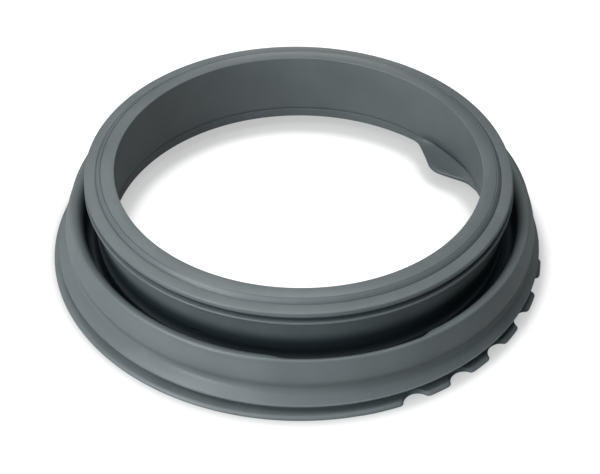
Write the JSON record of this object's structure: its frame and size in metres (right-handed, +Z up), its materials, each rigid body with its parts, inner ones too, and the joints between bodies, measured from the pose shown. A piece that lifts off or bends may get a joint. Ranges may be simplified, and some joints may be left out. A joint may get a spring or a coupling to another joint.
{
  "type": "washing machine door seal",
  "caption": "Grey moulded rubber bellows ring that seals a front-loading washing machine's tub mouth to the opening in its front panel.",
  "frame": {"origin": "centre of the ring on the surface that it lies on, under the wide flange", "axes": "+Z up along the ring's axis from the wide flange to the narrow clamp end, +X to the picture's right, -Y towards the picture's camera"},
  "size_m": [0.3976, 0.3975, 0.081],
  "materials": {
    "rubber": "satin, lightly matt moulded surface"
  },
  "bodies": {
    "root": {"door_seal": "rubber"}
  },
  "joints": []
}
